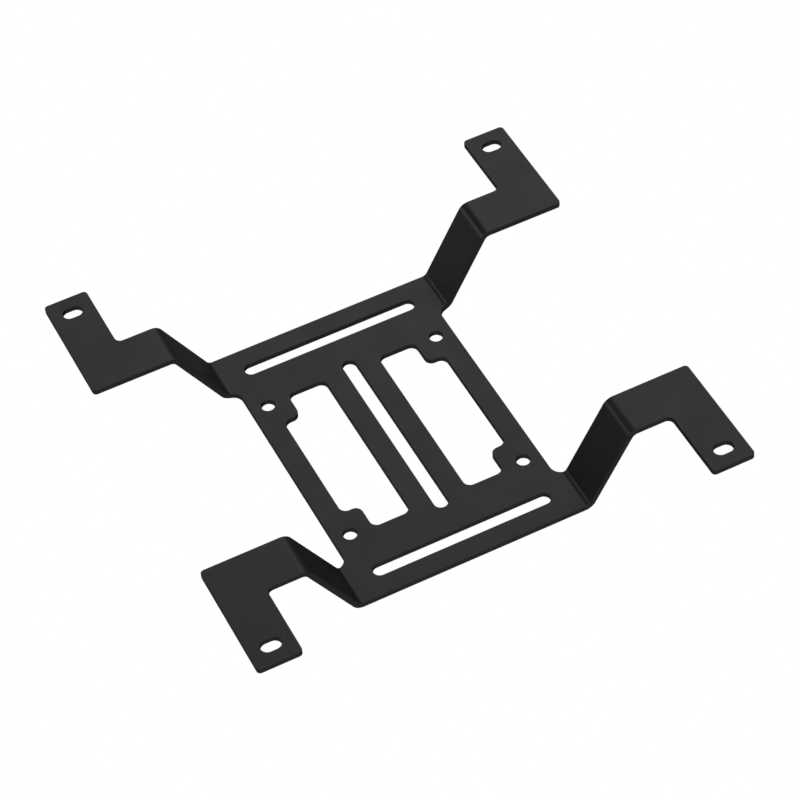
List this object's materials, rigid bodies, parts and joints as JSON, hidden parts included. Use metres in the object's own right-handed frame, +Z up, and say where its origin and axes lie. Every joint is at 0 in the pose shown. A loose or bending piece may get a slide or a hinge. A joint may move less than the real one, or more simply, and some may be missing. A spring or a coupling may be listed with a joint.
{
  "type": "reservoir bracket",
  "caption": "Folded steel bracket: a slotted centre plate on four sloping arms, with L-shaped slotted feet that screw to the corners of a fan or radiator and carry a pump or reservoir.",
  "frame": {"origin": "on the underside of the centre plate, at its middle", "axes": "+X across the plate towards the right-hand arms, +Y along the plate's long side, +Z up from the plate towards the raised feet"},
  "size_m": [0.1372, 0.1362, 0.023],
  "materials": {
    "black_powder_coat": "matt black powder coat on folded sheet steel"
  },
  "bodies": {
    "root": {"bracket": "black_powder_coat"}
  },
  "joints": []
}
